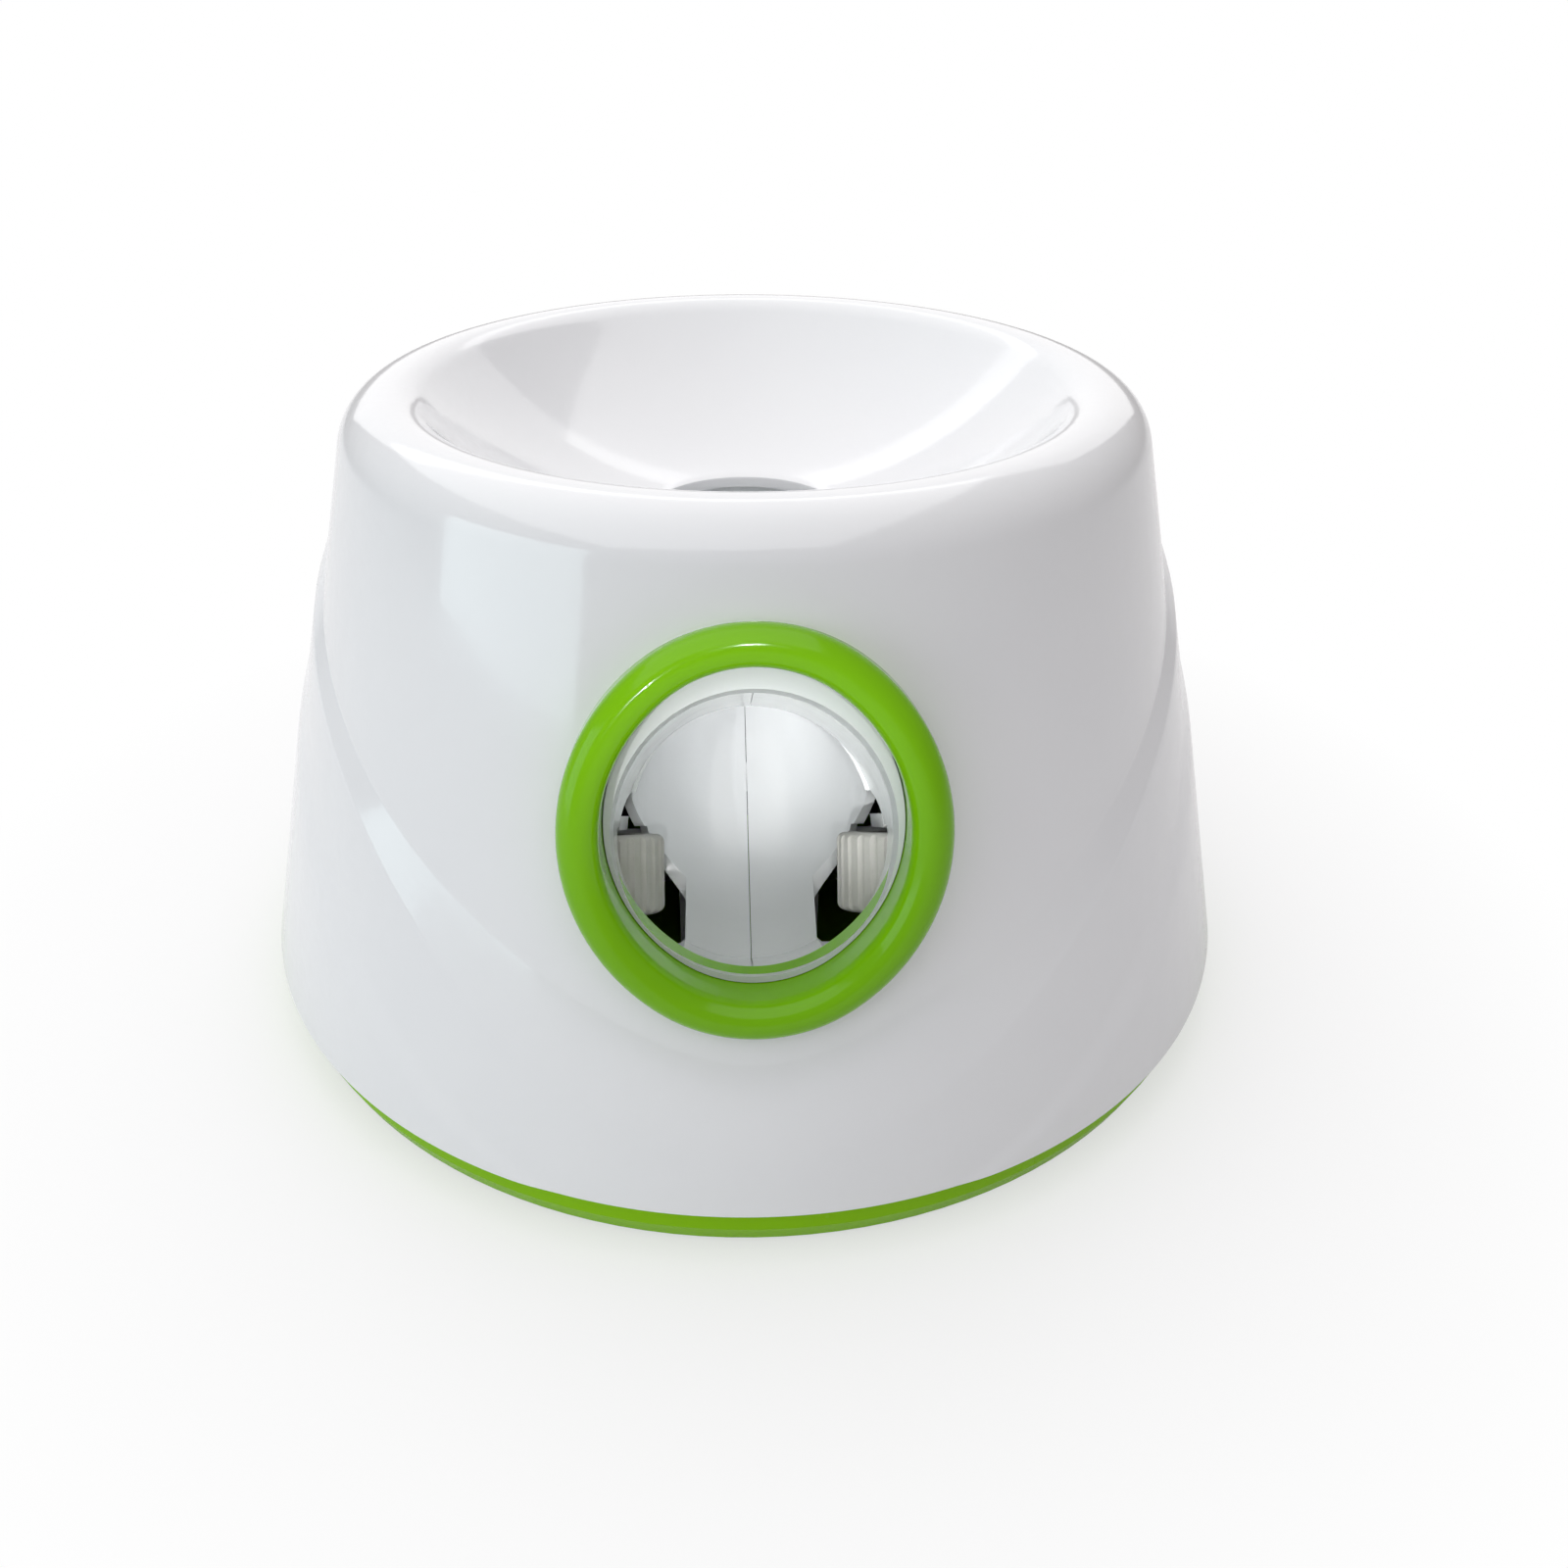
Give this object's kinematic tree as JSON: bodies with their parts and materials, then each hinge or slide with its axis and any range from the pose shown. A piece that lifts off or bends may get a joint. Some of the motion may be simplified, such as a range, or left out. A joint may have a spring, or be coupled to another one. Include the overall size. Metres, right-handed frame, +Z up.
{
  "type": "dog ball launcher",
  "caption": "Automatic launcher for small dog balls: a white cone-shaped body with a bowl on top, a green-ringed launch mouth, twin grooved wheels inside and a green base.",
  "frame": {"origin": "on the floor, under the middle of the bowl, at the bottom centre of the body", "axes": "+Z up; the launch mouth faces -Y; +X is to the right when the mouth is looked at from the front"},
  "size_m": [0.3, 0.2992, 0.1755],
  "materials": {
    "shell_white": "glossy moulded plastic",
    "lime_green": "glossy moulded plastic",
    "inner_white": "satin moulded plastic",
    "tyre_grey": "soft grey rubber",
    "black_rubber": "soft black rubber",
    "dark_plastic": "matt moulded plastic",
    "motor_steel": "plated steel",
    "screw_steel": "zinc-plated steel",
    "board_green": "coated circuit board",
    "cell_wrap": "printed cell wrap, left plain",
    "contact_steel": "nickel-plated spring steel",
    "lens_clear": "tinted clear plastic"
  },
  "bodies": {
    "launcher": {"outer_shell": "shell_white", "launch_ring": "lime_green", "mouth_liner": "inner_white", "chute_left": "inner_white", "chute_right": "inner_white", "throat_gasket": "black_rubber", "motor_left": "motor_steel", "motor_right": "motor_steel", "motor_bracket_left": "inner_white", "motor_bracket_right": "inner_white", "motor_screws": "screw_steel", "gate_bracket": "inner_white", "gate_motor": "motor_steel", "gate_screws": "screw_steel", "ball_sensors": "dark_plastic", "main_board": "board_green", "board_parts": "dark_plastic", "beeper": "dark_plastic", "control_panel": "shell_white", "switch_body": "dark_plastic", "indicator_lenses": "lens_clear", "control_board": "board_green", "power_jack": "dark_plastic", "base_plate": "lime_green", "battery_holder": "dark_plastic", "battery_cells": "cell_wrap", "battery_contacts": "contact_steel", "battery_door": "lime_green", "door_screws": "screw_steel", "rubber_feet": "black_rubber", "shell_screws": "screw_steel", "chute_screws": "screw_steel"},
    "wheel_left": {"wheel_hub_left": "inner_white", "wheel_tyre_left": "tyre_grey", "motor_shaft_left": "screw_steel"},
    "wheel_right": {"wheel_hub_right": "inner_white", "wheel_tyre_right": "tyre_grey", "motor_shaft_right": "screw_steel"},
    "gate": {"gate_shutter": "shell_white"},
    "gate_drive": {"gate_pinion": "inner_white", "gate_shaft": "screw_steel"},
    "rocker": {"power_rocker": "dark_plastic"},
    "button": {"distance_button": "lime_green"}
  },
  "joints": [
    {"name": "wheel_left_spin", "type": "hinge", "parent": "launcher", "child": "wheel_left", "pos_m": [-0.0473, -0.08688, 0.07196], "axis": [0, 0.5592, 0.829], "continuous": true},
    {"name": "wheel_right_spin", "type": "hinge", "parent": "launcher", "child": "wheel_right", "pos_m": [0.0473, -0.08688, 0.07196], "axis": [0, 0.5592, 0.829], "continuous": true},
    {"name": "gate_swing", "type": "hinge", "parent": "launcher", "child": "gate", "pos_m": [0.0406, 0.03407, 0.12514], "axis": [0, 0, 1], "range_deg": [0, 62]},
    {"name": "gate_pinion_turn", "type": "hinge", "parent": "launcher", "child": "gate_drive", "pos_m": [0.06227, 0.03789, 0.12514], "axis": [0, 0, 1], "range_deg": [-170, 0]},
    {"name": "power_rocker_tilt", "type": "hinge", "parent": "launcher", "child": "rocker", "pos_m": [-0.029, 0.1199, 0.07953], "axis": [1, 0, 0], "range_deg": [-20, 0]},
    {"name": "distance_button_press", "type": "slide", "parent": "launcher", "child": "button", "axis": [0, -0.969, -0.247], "range_m": [0, 0.0015], "stiffness_N_per_m": 400, "springref_m": -0.001}
  ],
  "couplings": [
    {"joint": "gate_pinion_turn", "follows": "gate_swing", "ratio": -2.6667}
  ]
}
